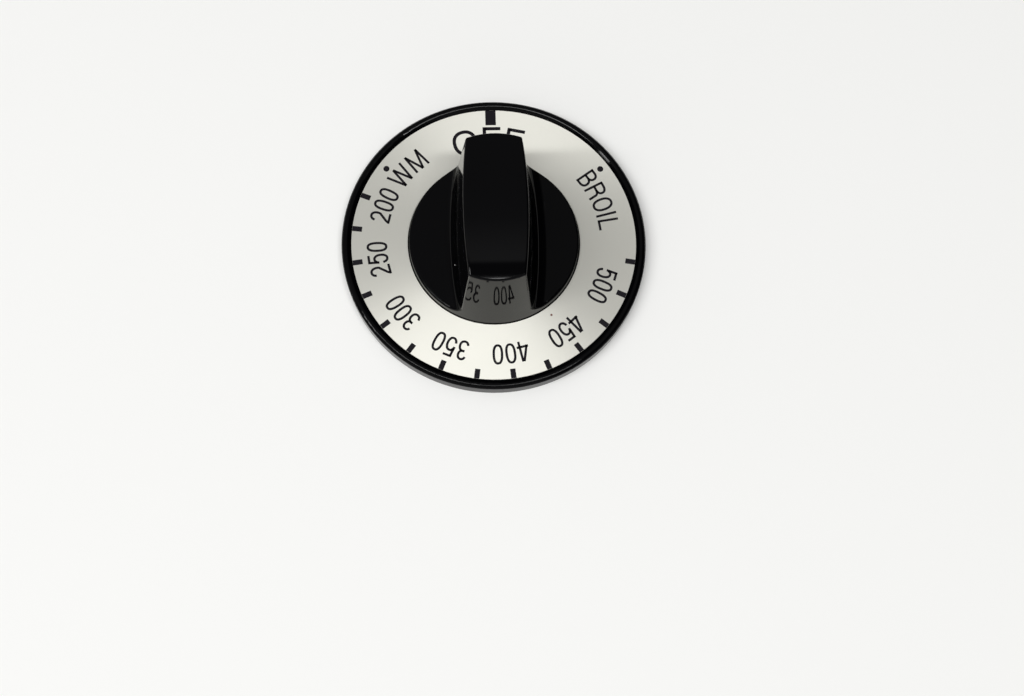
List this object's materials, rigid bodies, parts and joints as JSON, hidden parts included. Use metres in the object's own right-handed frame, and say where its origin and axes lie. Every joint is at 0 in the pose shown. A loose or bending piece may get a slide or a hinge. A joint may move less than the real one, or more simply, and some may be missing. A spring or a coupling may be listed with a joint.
{
  "type": "oven thermostat dial knob",
  "caption": "Round push-on dial knob with a moulded bar grip, a printed brushed-metal temperature ring and a D socket for a control stem.",
  "frame": {"origin": "centre of the back rim, in the plane that the knob rests on", "axes": "+Z along the stem axis, out of the dial towards the grip; +Y towards the OFF mark; the grip bar runs along Y"},
  "size_m": [0.0572, 0.0572, 0.0239],
  "materials": {
    "black_moulding": "moulded gloss black",
    "dial_metal": "spun brushed",
    "dial_ink": "printed black ink",
    "spring_steel": "rolled strip"
  },
  "bodies": {
    "root": {"knob_body": "black_moulding", "dial_plate": "dial_metal", "stem_leaf": "spring_steel"}
  },
  "joints": []
}
